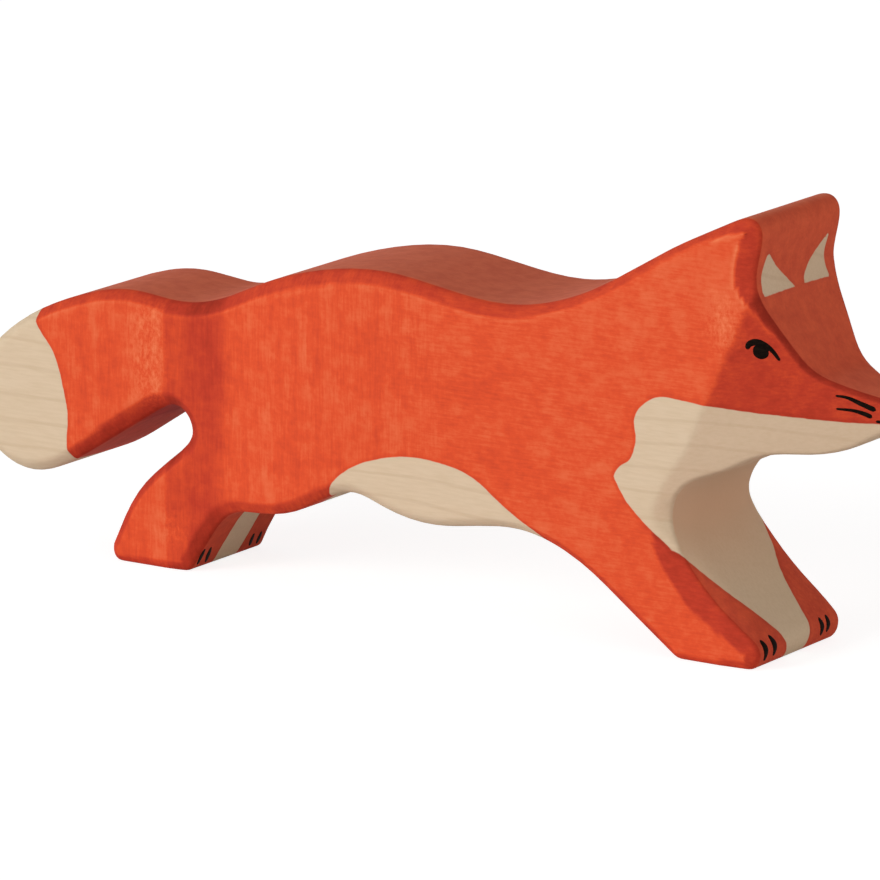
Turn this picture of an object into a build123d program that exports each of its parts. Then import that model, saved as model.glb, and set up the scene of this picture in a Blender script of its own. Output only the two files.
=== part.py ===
from build123d import *
import os
from math import cos, radians, sin

# A running fox, sawn as one outline from a board, thinned, bevelled and painted by hand.
# It runs towards +X and stands on z = 0. Its own right side faces -Y. Sizes in millimetres.

# Whole size
length = 161.0           # tail end to painted nose tip
ear_height = 67.1        # soles to ear tips
board = 24.0             # thickness at the shoulders and the ears

# Board: places in the outline are shares of the whole size
rump_board = 0.875 * board         # thickness at the tail and the hind leg
waist_board = 0.7833 * board       # thinnest place, in the hollow before the hip
edge_bevel = 1.7         # flat sanded along every sawn edge
paint = 0.2              # coat of black paint
sole_trim = 0.3          # sanded off under the feet after the edges are bevelled

# Back line, from the tail to the ears
tail_end_height = 0.3368 * ear_height
tail_crest_x = -0.3106 * length
tail_crest_height = 0.6349 * ear_height
rump_x = -0.2447 * length
rump_height = 0.6244 * ear_height
back_x = -0.0199 * length
back_height = 0.766 * ear_height
nape_x = 0.1155 * length
nape_height = 0.7317 * ear_height
ear_front = 0.3901 * length
ear_round = 2.3

# Head
brow_x = 0.3832 * length
brow_height = 0.8554 * ear_height
nose_height = 0.5723 * ear_height
nose_round = 2.85
nose_width = 0.1833 * board
chin_x = 0.3795 * length
chin_height = 0.465 * ear_height
throat_x = 0.2994 * length
throat_height = 0.313 * ear_height
cheek_top_x = 0.3646 * length      # the cheek flat starts on a line from here down to the throat
cheek_top_height = 0.7452 * ear_height
cheek_start = 0.5        # the cut for the cheek stops this far above the throat
brow_bevel = 0.9         # narrower flat between cheek and forehead, on round the snout

# Front leg and belly
toe_x = 0.3932 * length
toe_round = 3.0
heel_x = 0.3143 * length
heel_round = 3.0
elbow_x = 0.1311 * length
elbow_height = 0.2295 * ear_height
belly_x = 0.0404 * length
belly_height = 0.2086 * ear_height
groin_x = -0.0509 * length
groin_height = 0.2519 * ear_height

# Hind leg and the underside of the tail
hock_x = -0.205 * length
hock_height = 0.1416 * ear_height
hind_toe_x = -0.2547 * length
hind_toe_round = 2.1
hind_heel_x = -0.3205 * length
hind_heel_round = 2.2
notch_x = -0.2453 * length
notch_height = 0.3308 * ear_height
notch_rise = 3.0
notch_lean = 2.1         # the roof of the notch lies this far behind its end
tail_low_x = -0.4304 * length
tail_low_height = 0.1773 * ear_height

# Hollow between the hip and the tail
hip_x = -0.0932 * length
waist_x = -0.2137 * length
tail_side_x = -0.2826 * length
crease_width = 3.0       # rounding of the crease between the tail and the hollow

# Black brush marks
eye_x = 0.3882 * length
eye_height = 0.7049 * ear_height
iris = 2.6               # diameter of the eye spot
lid_width = 0.8          # brush width of the eyelid
whisker_start = 8.0      # whiskers start this far behind the nose tip
whisker_rise = 2.9       # and this far above its middle
whisker_length = 5.5
whisker_drop = 1.8       # fall of the upper whisker over its length
whisker_gap = 1.9        # between the two whiskers at their start
whisker_tip = 0.35       # brush width where a whisker starts
whisker_root = 0.75      # brush width where it ends
nose_patch = 1.3         # depth of the black nose behind its tip
mouth_corner = 2.6       # the mouth starts this far behind the nose tip
mouth_drop = 0.7         # and this far below its middle
mouth_width = 0.5
claw_width = 0.6
claw_low = 1.4           # claws run from this height
claw_high = 3.9          # up to this one
claw_gap = 0.1           # clearance between a claw's coat and the round wood under it
hind_claw_lean = 1.0     # the front of the hind foot faces down as much as ahead
front_right_claws = (-0.367 * board, -0.267 * board)
front_left_claws = (0.271 * board, 0.358 * board)
hind_right_claws = (-0.358 * board, -0.279 * board)
hind_left_claws = (0.204 * board, 0.292 * board)


def point(x, z):
    return Vector(x, 0, z)


def between(start, end, along, rise):
    """Point part of the way from start to end, with separate shares along X and up Z."""
    return point(start.X + along * (end.X - start.X), start.Z + rise * (end.Z - start.Z))


class Corner:
    """Round corner of the outline, run clockwise from one angle to another."""

    def __init__(self, centre, radius, first, last):
        self.start = self.at(centre, radius, first)
        self.end = self.at(centre, radius, last)
        self.heading_in = self.heading(first)
        self.heading_out = self.heading(last)
        self.edge = ThreePointArc(self.start, self.at(centre, radius, (first + last) / 2), self.end)

    @staticmethod
    def at(centre, radius, angle):
        return centre + point(radius * cos(radians(angle)), radius * sin(radians(angle)))

    @staticmethod
    def heading(angle):
        return point(sin(radians(angle)), -cos(radians(angle)))


def sweep_line(points, heading_in, heading_out):
    """Smooth sawn line through the points, leaving and arriving along the headings."""
    return Spline(*points, tangents=[heading_in, heading_out], tangent_scalars=(1, 1))


def outline():
    """The fox in profile, clockwise from the end of the tail."""
    nose_x = length / 2 - paint
    tail_end = point(-length / 2, tail_end_height)
    tail_crest = point(tail_crest_x, tail_crest_height)
    tail_low = point(tail_low_x, tail_low_height)
    rump = point(rump_x, rump_height)
    back = point(back_x, back_height)
    nape = point(nape_x, nape_height)
    brow = point(brow_x, brow_height)
    chin = point(chin_x, chin_height)
    throat = point(throat_x, throat_height)
    elbow = point(elbow_x, elbow_height)
    belly = point(belly_x, belly_height)
    groin = point(groin_x, groin_height)
    hock = point(hock_x, hock_height)
    notch = point(notch_x, notch_height)
    notch_roof = notch + point(-notch_lean, notch_rise)
    up = point(0, 1)

    ear = Corner(point(ear_front - ear_round, ear_height - ear_round), ear_round, 116, -5)
    nose = Corner(point(nose_x - nose_round, nose_height), nose_round, 76, -65)
    toe = Corner(point(toe_x - toe_round, toe_round - sole_trim), toe_round, 42, -90)
    heel = Corner(point(heel_x, heel_round - sole_trim), heel_round, -90, -127)
    hind_toe = Corner(point(hind_toe_x, hind_toe_round - sole_trim), hind_toe_round, -26, -90)
    hind_heel = Corner(point(hind_heel_x, hind_heel_round - sole_trim), hind_heel_round, -90, -204)

    back_line = sweep_line(
        [
            tail_end,
            between(tail_end, tail_crest, 0.28, 0.62),
            between(tail_end, tail_crest, 0.58, 0.855),
            tail_crest,
            rump,
            between(rump, back, 0.35, 0.463),
            between(rump, back, 0.677, 0.863),
            back,
            nape,
            between(nape, ear.start, 0.372, 0.228),
            between(nape, ear.start, 0.697, 0.655),
            ear.start,
        ],
        up,
        ear.heading_in,
    )
    forehead = sweep_line(
        [
            ear.end,
            brow,
            between(brow, nose.start, 0.103, 0.271),
            between(brow, nose.start, 0.274, 0.542),
            between(brow, nose.start, 0.456, 0.782),
            between(brow, nose.start, 0.718, 0.912),
            nose.start,
        ],
        ear.heading_out,
        nose.heading_in,
    )
    chest = sweep_line(
        [
            nose.end,
            between(nose.end, chin, 0.236, 0.481),
            between(nose.end, chin, 0.618, 0.855),
            chin,
            between(chin, throat, 0.434, 0.284),
            between(chin, throat, 0.845, 0.539),
            throat,
            between(throat, toe.start, 0.17, 0.3),
            between(throat, toe.start, 0.621, 0.706),
            toe.start,
        ],
        nose.heading_out,
        toe.heading_in,
    )
    under_line = sweep_line(
        [
            heel.end,
            between(heel.end, elbow, 0.278, 0.361),
            between(heel.end, elbow, 0.603, 0.766),
            elbow,
            belly,
            between(belly, groin, 0.64, 0.5),
            groin,
            between(groin, hock, 0.39, 0.52),
            between(groin, hock, 0.72, 0.82),
            hock,
            between(hock, hind_toe.start, 0.54, 0.44),
            hind_toe.start,
        ],
        heel.heading_out,
        hind_toe.heading_in,
    )
    tail_line = sweep_line(
        [
            hind_heel.end,
            between(hind_heel.end, notch, 0.3125, 0.438),
            between(hind_heel.end, notch, 0.773, 0.761),
            notch,
            notch_roof,
            between(notch_roof, tail_low, 0.213, 0.135),
            between(notch_roof, tail_low, 0.523, 0.549),
            between(notch_roof, tail_low, 0.776, 0.865),
            tail_low,
            between(tail_low, tail_end, 0.545, 0.178),
            tail_end,
        ],
        hind_heel.heading_out,
        up,
    )
    return Wire(
        [
            back_line,
            ear.edge,
            forehead,
            nose.edge,
            chest,
            toe.edge,
            Line(toe.end, heel.start),
            heel.edge,
            under_line,
            hind_toe.edge,
            Line(hind_toe.end, hind_heel.start),
            hind_heel.edge,
            tail_line,
        ]
    )


def thickness_slab():
    """The board seen from above: full at the shoulders, hollowed at the waist, thin at the tail."""
    front = board / 2
    rear = rump_board / 2
    waist = waist_board / 2
    slope = (rear - waist) / (waist_x - tail_side_x)
    crease = (tail_side_x + crease_width, slope * crease_width - rear)
    hollow = [(tail_side_x, -rear), crease, (waist_x, -waist), (hip_x, -front)]
    near_side = [
        Line((-length, -rear), (tail_side_x, -rear)),
        Spline(*hollow, tangents=[(1, 0), (1, 0)], tangent_scalars=(1, 1)),
        Line((hip_x, -front), (length, -front)),
    ]
    far_side = [mirror(edge, Plane.XZ) for edge in near_side]
    ends = [Line((length, -front), (length, front)), Line((-length, -rear), (-length, rear))]
    return extrude(make_face(near_side + far_side + ends), amount=2 * ear_height, both=True)


def cheek_plane():
    """Flat of the right cheek, from its start on the side face to the edge of the nose."""
    top = Vector(cheek_top_x, -board / 2, cheek_top_height)
    low = Vector(throat_x - edge_bevel, -board / 2, throat_height)
    tip = Vector(length / 2 - paint, -nose_width / 2, nose_height)
    return Plane(origin=top, x_dir=tip - top, z_dir=(low - top).cross(tip - top))


def sawn_edges(solid):
    """Edges where the sawn outline meets the two broad sides."""
    sawn = solid.faces().filter_by(lambda face: abs(face.normal_at().Y) < 0.001)
    sides = solid.faces().filter_by(lambda face: abs(face.normal_at().Y) > 0.5)
    rim = sawn.edges()
    return sides.edges().filter_by(lambda edge: edge in rim)


def brow_edges(solid):
    """Edges between the cheek flats and the sawn forehead, above the nose."""
    slope = cheek_plane().z_dir
    rim = solid.faces().filter_by(lambda face: abs(face.normal_at().Y) < 0.001).edges()
    cheeks = solid.faces().filter_by(lambda face: abs(face.normal_at().X - slope.X) < 0.001)
    over_nose = cheeks.edges().filter_by(lambda edge: edge.center().Z > nose_height + nose_round)
    return over_nose.filter_by(lambda edge: edge in rim)


def wooden_body():
    """Sawn, thinned, bevelled, sanded flat under the feet, then cut to the two cheek flats."""
    sawn = Solid.extrude(Face(outline()), Vector(0, 2 * board, 0)).moved(Pos(0, -board, 0))
    shaped = sawn & thickness_slab()
    bevelled = chamfer(sawn_edges(shaped), edge_bevel)
    beyond = Box(2 * length, 2 * length, length, align=(Align.CENTER, Align.CENTER, Align.MIN))
    above_throat = Pos(0, 0, throat_height + cheek_start) * beyond
    cheek = (cheek_plane() * beyond) & above_throat
    carved = (bevelled & beyond) - cheek - mirror(cheek, Plane.XZ)
    return chamfer(brow_edges(carved), brow_bevel)


def stroke(points, widths):
    """Brush stroke: round dabs at the points, each joined to the next along common tangents."""
    dabs = [Pos(*place) * Circle(width / 2) for place, width in zip(points, widths)]
    joined = [make_hull(one.edges() + two.edges()) for one, two in zip(dabs, dabs[1:])]
    return Sketch() + joined


def on_right_cheek(x, z, marks):
    """Coat of paint on the right cheek flat, for marks drawn about the point at x and z."""
    flat = cheek_plane()
    sight = Axis((x, -board, z), (0, 1, 0))
    spot = flat.intersect(sight)
    canvas = Plane(origin=spot, x_dir=(1, 0, 0), z_dir=flat.z_dir)
    return extrude(canvas * marks, amount=paint)


def right_eye():
    """Round spot under a brushed upper lid."""
    corner = (-0.88 * iris, 0.31 * iris)
    fold = (-0.54 * iris, 0.62 * iris)
    crest = (-0.12 * iris, 0.65 * iris)
    front = (0.42 * iris, 0.46 * iris)
    fall = (0.69 * iris, 0.08 * iris)
    end = (0.92 * iris, -0.42 * iris)
    widths = [lid_width * share for share in (0.6, 1.0, 1.2, 1.2, 0.9, 0.5)]
    lid = stroke([corner, fold, crest, front, fall, end], widths)
    return on_right_cheek(eye_x, eye_height, lid + Circle(iris / 2))


def right_whiskers():
    """Two strokes that widen and drop towards the nose."""
    widths = (whisker_tip, (whisker_tip + whisker_root) / 2, whisker_root)
    upper = [
        (0, 0),
        (0.35 * whisker_length, -0.11 * whisker_drop),
        (whisker_length, -whisker_drop),
    ]
    lower = [
        (0, -whisker_gap),
        (0.4 * whisker_length, -whisker_gap - 0.06 * whisker_drop),
        (0.85 * whisker_length, -whisker_gap - 0.5 * whisker_drop),
    ]
    marks = stroke(upper, widths) + stroke(lower, widths)
    start_x = length / 2 - paint - whisker_start
    return on_right_cheek(start_x, nose_height + whisker_rise, marks)


def coat_ahead(body, area, gap=0, lean=0):
    """Coat of paint over whatever of the body faces forward, and by lean down, inside the area."""
    under = body.moved(Pos(gap, 0, -lean * gap))
    over = under.moved(Pos(paint, 0, -lean * paint))
    return (over & area) - under


def nose_paint(body):
    """Black nose tip, with the corners of the mouth running back from it."""
    tip_x = length / 2 - paint
    area = Pos(tip_x - nose_patch, 0, nose_height) * Box(
        2 * nose_patch + paint, board, 4 * nose_round, align=(Align.MIN, Align.CENTER, Align.CENTER)
    )
    mouth = stroke([(0, 0), (mouth_corner - nose_patch / 2, 0)], (mouth_width, mouth_width))
    corner = on_right_cheek(tip_x - mouth_corner, nose_height - mouth_drop, mouth)
    return coat_ahead(body, area) + corner + mirror(corner, Plane.XZ)


def claws(body, toe, places, lean=0):
    """Short upright strokes on the front of a foot, one at each place across the board."""
    middle = (claw_low + claw_high) / 2
    mark = SlotOverall(claw_high - claw_low, claw_width, rotation=90)
    front = Plane(origin=(toe - claw_high, 0, middle), x_dir=(0, 1, 0), z_dir=(1, 0, 0))
    area = [extrude(front * Pos(place, 0) * mark, amount=2 * claw_high) for place in places]
    return Part() + [coat_ahead(body, column, claw_gap, lean) for column in area]


body = wooden_body()
eye = right_eye()
whiskers = right_whiskers()
nodes = {
    "wooden_body": body,
    "eye_right": eye,
    "eye_left": mirror(eye, Plane.XZ),
    "whiskers_right": whiskers,
    "whiskers_left": mirror(whiskers, Plane.XZ),
    "nose_and_mouth": nose_paint(body),
    "claws_front_right": claws(body, toe_x, front_right_claws),
    "claws_front_left": claws(body, toe_x, front_left_claws),
    "claws_hind_right": claws(body, hind_toe_x, hind_right_claws, hind_claw_lean),
    "claws_hind_left": claws(body, hind_toe_x, hind_left_claws, hind_claw_lean),
}
os.makedirs("parts", exist_ok=True)
for name, solid in nodes.items():
    export_step(solid, f"parts/{name}.step")
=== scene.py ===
import math

import bmesh
import bpy
import numpy as np
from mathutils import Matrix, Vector, kdtree, noise
from mathutils.bvhtree import BVHTree
from mathutils.geometry import delaunay_2d_cdt


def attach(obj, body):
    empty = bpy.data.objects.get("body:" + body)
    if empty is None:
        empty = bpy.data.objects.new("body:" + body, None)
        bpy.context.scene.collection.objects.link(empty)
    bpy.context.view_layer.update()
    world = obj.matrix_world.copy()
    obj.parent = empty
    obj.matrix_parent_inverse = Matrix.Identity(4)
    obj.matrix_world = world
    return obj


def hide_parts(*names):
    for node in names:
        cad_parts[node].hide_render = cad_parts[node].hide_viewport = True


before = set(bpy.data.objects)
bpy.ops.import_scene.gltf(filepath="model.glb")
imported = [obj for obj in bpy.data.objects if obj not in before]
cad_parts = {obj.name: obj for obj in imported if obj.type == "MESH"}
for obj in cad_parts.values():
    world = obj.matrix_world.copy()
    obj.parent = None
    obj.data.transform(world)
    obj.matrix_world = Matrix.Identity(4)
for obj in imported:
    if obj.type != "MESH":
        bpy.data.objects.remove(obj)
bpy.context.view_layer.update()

# A running fox sawn from one board, shaped and stained by hand. Shapes are worked out in
# millimetres in the frame's own axes: x to the nose, y to the fox's left, z up from the floor.
MM = 0.001

# Mesh of the body
STEP = 0.5               # spacing of the points
ROW_STEP = 0.87 * STEP   # spacing of their rows
EDGE_ROUND = 0.45        # the sanded edge between a side and the sawn face
ROUND_RINGS = (0.04, 0.13, 0.27, EDGE_ROUND)
INNER_RINGS = (0.8, 1.2, 1.6, 2.1, 2.6, 3.2, 3.8, 4.4)
RING_GAP = 0.3           # least spacing of the points on those rings
RING_KEEP = 0.96         # a point stays if it lies this share of its ring's reach from the rim
RIM_GAP = 0.2            # least distance of inner points from the rounded edge
NEAR_RIM = 1.5 * STEP    # nearer than this, distances are taken square to the rim
WALL_ROWS = 34           # rows of faces across the sawn face
CUT_LEVEL = 0.013        # level of the section, just off the middle so that it meets no corner
CORNER_TURN = math.radians(18)

# Hand work
FALL_REACH = 4.0         # the sawn face falls back to its edges over this width
SOLE_SOFT = 2.5          # height below which the ends of the soles are rounded
SOLE_PASSES = 2
EAR_SOFT = 62.0          # height above which the tips of the ears are rounded
EAR_PASSES = 12
WAVE_DEPTH = 0.1         # unevenness of the sanded sides
WAVE_ALONG = 0.09        # how fast it changes along the fox
WAVE_UP = 0.13           # and up its side
WAVE_FADE = 3.0          # it fades out over this distance to the rim
BEVEL_BLUR = 0.08        # rounding of a bevel's inner line, as a share of its width
BEVEL_CURVE = 0.3        # share of a bevel's depth that is curved
CREASE = 0.15            # rounding of the line where two flats meet
SCOOP_CREASE = 1.2       # and of the lines round the hollow before the hip
# each side by itself: its waves, and its share of the fall-back and of the bevel
RIGHT = {"seed": 0.0, "fall": 1.0, "bevel": 1.0}
LEFT = {"seed": 7.3, "fall": 0.3, "bevel": 0.5}

# Half of the board, and where it changes
FRONT_HALF = 12.0
REAR_HALF = 10.5
WAIST_HALF = 9.3
HIP_X = -14.0
HOLLOW_X = -34.0
TAIL_X = -43.3

# Flat of the cheek
CHEEK_FOOT = 36.5        # the flat starts on a line that meets the floor here
CHEEK_SLANT = 0.445      # and runs ahead by this much for each millimetre up
CHEEK_TAPER = 0.3651     # half thickness lost for each millimetre ahead of that line
CHIN = 33.0              # below this height the line bows back
CHIN_BOW = 1.4
CHIN_FADE = 8.0
THROAT = 21.0            # below this height the flat runs out
THROAT_RISE = 0.55
THROAT_BLUR = 1.5


def mid_section(node):
    """Loop of (x, z) where the solid crosses its middle plane, counterclockwise."""
    mesh = node.data
    mesh.calc_loop_triangles()
    co = np.array([v.co for v in mesh.vertices]) / MM
    links = {}
    for tri in mesh.loop_triangles:
        corners = [tuple(co[i]) for i in tri.vertices]
        hits = []
        for a, b in ((0, 1), (1, 2), (2, 0)):
            p, q = sorted((corners[a], corners[b]))
            if (p[1] - CUT_LEVEL) * (q[1] - CUT_LEVEL) < 0:
                t = (CUT_LEVEL - p[1]) / (q[1] - p[1])
                hits.append((p[0] + t * (q[0] - p[0]), p[2] + t * (q[2] - p[2])))
        if len(hits) == 2 and hits[0] != hits[1]:
            links.setdefault(hits[0], []).append(hits[1])
            links.setdefault(hits[1], []).append(hits[0])
    first = min(links)
    loop, before, here = [first], None, first
    while True:
        after = [p for p in links[here] if p != before]
        before, here = here, after[0]
        if here == first:
            break
        loop.append(here)
    loop = np.array(loop)
    nxt = np.roll(loop, -1, 0)
    area = np.sum(loop[:, 0] * nxt[:, 1] - nxt[:, 0] * loop[:, 1])
    return loop if area > 0 else loop[::-1]


def resample(loop, step):
    """Points round the loop at about one step, with its sharp corners kept."""
    ahead = np.roll(loop, -1, 0) - loop
    angle = np.arctan2(ahead[:, 1], ahead[:, 0])
    turn = np.abs((angle - np.roll(angle, 1) + np.pi) % (2 * np.pi) - np.pi)
    corners = np.flatnonzero(turn > CORNER_TURN)
    made = []
    for a, b in zip(corners, np.roll(corners, -1)):
        piece = loop[a : b + 1] if a < b else np.vstack([loop[a:], loop[: b + 1]])
        run = np.concatenate([[0], np.cumsum(np.linalg.norm(np.diff(piece, axis=0), axis=1))])
        places = np.linspace(0, run[-1], max(2, round(run[-1] / step)) + 1)[:-1]
        made.append(np.stack([np.interp(places, run, piece[:, k]) for k in (0, 1)], 1))
    return np.vstack(made)


def smooth_curve(points, share=8):
    """Catmull-Rom curve through the points."""
    p = np.array(points, float)
    p = np.vstack([2 * p[0] - p[1], p, 2 * p[-1] - p[-2]])
    t = np.linspace(0, 1, share, endpoint=False)[:, None]
    made = []
    for a, b, c, d in zip(p, p[1:], p[2:], p[3:]):
        curve = 2 * b + (c - a) * t + (2 * a - 5 * b + 4 * c - d) * t**2 + (3 * b - a - 3 * c + d) * t**3
        made.append(0.5 * curve)
    return np.vstack(made + [p[-2:-1]])


def signed_distance(points, polygon):
    """Distance to the polygon's edge, above zero inside it."""
    px, pz = points[:, 0], points[:, 1]
    best = np.full(len(points), 1e9)
    inside = np.zeros(len(points), bool)
    for (ax, az), (bx, bz) in zip(polygon, np.roll(polygon, -1, 0)):
        dx, dz = bx - ax, bz - az
        t = np.clip(((px - ax) * dx + (pz - az) * dz) / max(dx * dx + dz * dz, 1e-12), 0, 1)
        best = np.minimum(best, (px - ax - t * dx) ** 2 + (pz - az - t * dz) ** 2)
        if az != bz:
            crosses = (az > pz) != (bz > pz)
            inside ^= crosses & (px < ax + (pz - az) / dz * dx)
    return np.where(inside, 1, -1) * np.sqrt(best)


def soft_min(a, b, k):
    """Lesser of a and b, with the crease between them rounded over k."""
    h = np.clip(0.5 + 0.5 * (b - a) / k, 0, 1)
    return b + (a - b) * h - k * h * (1 - h)


def soft_ramp(t, e):
    """Zero below zero and t above it, with the corner rounded over e."""
    return np.where(t < -e, 0, np.where(t > e, t, (t + e) ** 2 / (4 * e)))


def smooth_step(t):
    """Zero below zero, one above one and smooth between."""
    t = np.clip(t, 0, 1)
    return t * t * (3 - 2 * t)


# Body shape


def soften(loop, chosen, passes):
    """Rounds the corners in the chosen stretch of a loop."""
    for _ in range(passes):
        mean = (np.roll(loop, 1, 0) + 2 * loop + np.roll(loop, -1, 0)) / 4
        loop = np.where(chosen[:, None], mean, loop)
    return loop


outline = resample(mid_section(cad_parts["wooden_body"]), STEP)
outline = soften(outline, outline[:, 1] < SOLE_SOFT, SOLE_PASSES)
outline = soften(outline, outline[:, 1] > EAR_SOFT, EAR_PASSES)
tangent = np.roll(outline, -1, 0) - np.roll(outline, 1, 0)
tangent /= np.linalg.norm(tangent, axis=1)[:, None]
inward = np.stack([-tangent[:, 1], tangent[:, 0]], 1)

# Sanded edges: place on the outline, width on the side, depth across the board, and how far
# the sawn face falls back where it meets the side
EDGES = [
    (-80.5, 22.6, 1.6, 1.4, 0.0),
    (-66.0, 38.0, 1.5, 1.5, 0.0),
    (-50.0, 42.6, 1.5, 1.6, 0.0),
    (-39.4, 41.9, 1.8, 1.6, 0.0),
    (-20.0, 48.5, 2.2, 1.6, 0.0),
    (-3.2, 51.4, 2.1, 1.6, 0.0),
    (18.6, 49.1, 1.9, 1.6, 0.0),
    (30.0, 51.8, 1.4, 1.3, 0.0),
    (53.0, 64.5, 1.2, 1.2, 0.0),
    (60.5, 67.0, 2.0, 1.2, 0.0),
    (62.8, 64.0, 2.9, 1.2, 0.0),
    (61.7, 57.4, 2.9, 1.2, 0.0),
    (62.6, 54.2, 1.3, 0.8, 0.0),
    (66.0, 50.0, 0.65, 0.5, 0.0),
    (72.0, 43.4, 0.6, 0.45, 0.0),
    (78.0, 41.0, 0.55, 0.4, 0.0),
    (79.6, 37.0, 0.6, 0.4, 0.0),
    (70.0, 32.5, 0.4, 0.2, 0.0),
    (61.1, 31.2, 0.4, 0.2, 0.0),
    (49.6, 23.5, 0.4, 0.2, 0.4),
    (48.2, 21.0, 2.6, 0.4, 0.5),
    (49.2, 18.3, 3.6, 0.8, 0.6),
    (50.6, 16.0, 3.6, 0.9, 0.9),
    (54.0, 12.2, 3.6, 0.9, 1.1),
    (57.1, 9.1, 3.2, 0.9, 1.2),
    (60.0, 6.5, 2.4, 0.9, 1.0),
    (62.5, 4.2, 2.2, 0.9, 0.5),
    (63.3, 2.2, 2.2, 1.1, 0.2),
    (62.3, 0.0, 1.6, 1.2, 0.0),
    (56.0, 0.0, 1.2, 0.7, 0.0),
    (48.5, 0.0, 1.2, 0.7, 0.0),
    (34.0, 11.0, 1.4, 1.2, 0.0),
    (6.5, 14.0, 1.4, 1.2, 0.0),
    (-20.0, 13.0, 1.8, 1.4, 0.0),
    (-33.0, 9.5, 2.2, 1.2, 0.0),
    (-38.5, 1.5, 2.0, 1.0, 0.0),
    (-39.4, 0.0, 1.4, 0.8, 0.0),
    (-53.0, 0.0, 1.2, 0.7, 0.0),
    (-53.0, 3.0, 1.3, 0.8, 0.0),
    (-45.0, 17.0, 1.5, 1.3, 0.0),
    (-40.0, 23.0, 1.8, 1.5, 0.0),
    (-41.6, 25.2, 2.2, 1.8, 0.0),
    (-47.5, 23.4, 2.5, 2.4, 0.0),
    (-52.0, 20.7, 2.4, 2.3, 0.0),
    (-56.1, 17.9, 2.1, 2.0, 0.0),
    (-60.5, 15.2, 1.7, 1.6, 0.0),
    (-69.3, 11.9, 1.8, 1.5, 0.0),
]


def plan_tree(loop):
    """Search tree over the points of a loop."""
    tree = kdtree.KDTree(len(loop))
    for i, (x, z) in enumerate(loop):
        tree.insert((x, z, 0), i)
    tree.balance()
    return tree


def round_outline(column):
    """One column of the edge table, carried on smoothly all round the outline."""
    marks = sorted((nearest.find((row[0], row[1], 0))[1], row[column]) for row in EDGES)
    spots = np.arange(len(outline))
    return np.interp(spots, [m[0] for m in marks], [m[1] for m in marks], period=len(outline))


nearest = plan_tree(outline)
bevel_width, bevel_depth, fall_back = (round_outline(column) for column in (2, 3, 4))


def slab_half(x):
    """Half of the board: full at the shoulders, hollow before the hip, thin at the tail."""
    fore = WAIST_HALF + (FRONT_HALF - WAIST_HALF) * (x - HOLLOW_X) / (HIP_X - HOLLOW_X)
    aft = WAIST_HALF + (REAR_HALF - WAIST_HALF) * (HOLLOW_X - x) / (HOLLOW_X - TAIL_X)
    scoop = -soft_min(-fore, -aft, SCOOP_CREASE)
    limit = np.where(x > HOLLOW_X, FRONT_HALF, REAR_HALF)
    return soft_min(scoop, limit, np.where(x > HOLLOW_X, SCOOP_CREASE, CREASE))


def cheek_half(x, z):
    """Flat of the cheek, running out from the side face to the nose and ending at the throat."""
    start = CHEEK_FOOT + CHEEK_SLANT * z - CHIN_BOW * smooth_step((CHIN - z) / CHIN_FADE)
    return FRONT_HALF - CHEEK_TAPER * (x - start) + THROAT_RISE * soft_ramp(THROAT - z, THROAT_BLUR)


def hand_waves(x, z, seed):
    """Slight unevenness of a face sanded by hand."""
    return np.array([noise.noise((a * WAVE_ALONG, b * WAVE_UP, seed)) for a, b in zip(x, z)])


def half_thickness(x, z, line, tree, side):
    """Half of the thickness at x and z, distance to the rim, and width and rise of the bevel there."""
    found = [tree.find((a, b, 0)) for a, b in zip(x, z)]
    index = np.array([f[1] for f in found])
    off = np.stack([x, z], 1) - line[index]
    far = np.array([f[2] for f in found])
    along = np.abs(np.sum(off * inward[index], 1))
    d = np.where(far > NEAR_RIM, far, np.minimum(along, far))
    base = soft_min(slab_half(x), cheek_half(x, z), CREASE)
    rise = soft_ramp(1 - d / bevel_width[index], BEVEL_BLUR)
    bevel = side["bevel"] * bevel_depth[index] * rise * (1 - BEVEL_CURVE + BEVEL_CURVE * rise)
    edge = EDGE_ROUND - np.sqrt(np.maximum(EDGE_ROUND**2 - np.maximum(EDGE_ROUND - d, 0) ** 2, 0))
    waves = WAVE_DEPTH * hand_waves(x, z, side["seed"]) * smooth_step(d / WAVE_FADE)
    return base - bevel - edge + waves, d, bevel_width[index], rise


def inner_points(line, tree):
    """Points inside the rim: rings along the bevels, and a grid between them."""
    made, taken = [], set()
    for reach in INNER_RINGS:
        for p in line + inward * reach:
            cell = (round(p[0] / RING_GAP), round(p[1] / RING_GAP))
            if cell not in taken and tree.find((p[0], p[1], 0))[2] > RING_KEEP * reach:
                taken.add(cell)
                made.append(p)
    low, high = outline.min(0), outline.max(0)
    rows = np.arange(low[1], high[1], ROW_STEP)
    grid = []
    for r, z in enumerate(rows):
        xs = np.arange(low[0], high[0], STEP) + (r % 2) * STEP / 2
        grid.append(np.stack([xs, np.full_like(xs, z)], 1))
    grid = np.vstack(grid)
    deep = signed_distance(grid, line) > INNER_RINGS[-1] + RING_GAP
    kept = np.vstack([np.array(made), grid[deep]])
    return kept[signed_distance(kept, line) > ROUND_RINGS[-1] + RIM_GAP]


def new_object(name, verts, faces, material):
    """Smooth mesh of one material, from places in millimetres."""
    mesh = bpy.data.meshes.new(name)
    mesh.from_pydata([tuple(v) for v in np.asarray(verts) * MM], [], faces)
    mesh.polygons.foreach_set("use_smooth", [True] * len(mesh.polygons))
    mesh.materials.append(material)
    mesh.update()
    obj = bpy.data.objects.new(name, mesh)
    bpy.context.scene.collection.objects.link(obj)
    return obj


def set_attribute(obj, name, values):
    """One number at each vertex, for the material."""
    data = obj.data.attributes.new(name, "FLOAT", "POINT")
    data.data.foreach_set("value", np.asarray(values, np.float32))


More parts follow.
